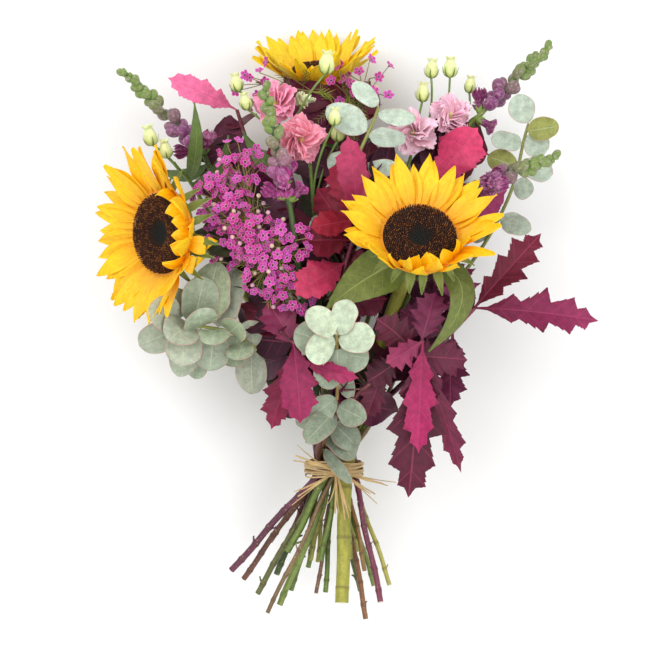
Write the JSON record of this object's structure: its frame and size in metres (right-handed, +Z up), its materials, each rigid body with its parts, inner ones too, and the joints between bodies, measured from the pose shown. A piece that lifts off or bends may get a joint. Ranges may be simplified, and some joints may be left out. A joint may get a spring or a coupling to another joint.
{
  "type": "flower bouquet",
  "caption": "Hand-tied mixed bunch with large yellow sunflowers, spikes, small blooms, round grey leaves and lobed red leaves, tied with raffia and lying down.",
  "frame": {"origin": "on the surface it lies on, under the middle of its bounding box", "axes": "+Z up from the surface, +Y along the bunch from the cut stems to the heads, +X to the right seen from above"},
  "size_m": [0.467, 0.5709, 0.2414],
  "materials": {
    "sunflower_disc": "dense dark florets, rough",
    "sunflower_ray": "soft petals, satin",
    "sunflower_green": "hairy green stem and bracts, matt",
    "snapdragon": "velvety florets on a green spike, matt",
    "lisianthus_green": "smooth green stems and buds, satin",
    "petal_pink": "thin petals, satin",
    "petal_pale_pink": "thin petals, satin",
    "petal_cream": "thin petals, satin",
    "waxflower": "waxy small florets, satin",
    "eucalyptus_leaf": "waxy bloom, matt",
    "oak_leaf": "leathery red leaves, satin",
    "raffia": "dry fibre, matt"
  },
  "bodies": {
    "root": {"bloom_pink_centre": "petal_pink", "bloom_pink_high": "petal_pale_pink", "bloom_pink_left": "petal_pink", "bloom_pink_right": "petal_pale_pink", "bloom_white": "petal_cream", "eucalyptus_back_left": "eucalyptus_leaf", "eucalyptus_back_right": "eucalyptus_leaf", "eucalyptus_front": "eucalyptus_leaf", "eucalyptus_low": "eucalyptus_leaf", "eucalyptus_middle": "eucalyptus_leaf", "eucalyptus_right": "eucalyptus_leaf", "lisianthus_centre": "lisianthus_green", "lisianthus_high": "lisianthus_green", "lisianthus_left": "lisianthus_green", "lisianthus_middle": "lisianthus_green", "lisianthus_right": "lisianthus_green", "oak_back": "oak_leaf", "oak_centre": "oak_leaf", "oak_front": "oak_leaf", "oak_high": "oak_leaf", "oak_left": "oak_leaf", "oak_right": "oak_leaf", "oak_top_left": "oak_leaf", "raffia_tie": "raffia", "snapdragon_high": "snapdragon", "snapdragon_left": "snapdragon", "snapdragon_middle": "snapdragon", "snapdragon_right": "snapdragon", "sunflower_left": "sunflower_green", "sunflower_left_disc": "sunflower_disc", "sunflower_left_rays": "sunflower_ray", "sunflower_right": "sunflower_green", "sunflower_right_disc": "sunflower_disc", "sunflower_right_rays": "sunflower_ray", "sunflower_top": "sunflower_green", "sunflower_top_disc": "sunflower_disc", "sunflower_top_rays": "sunflower_ray", "waxflower": "waxflower", "waxflower_high": "waxflower"}
  },
  "joints": []
}
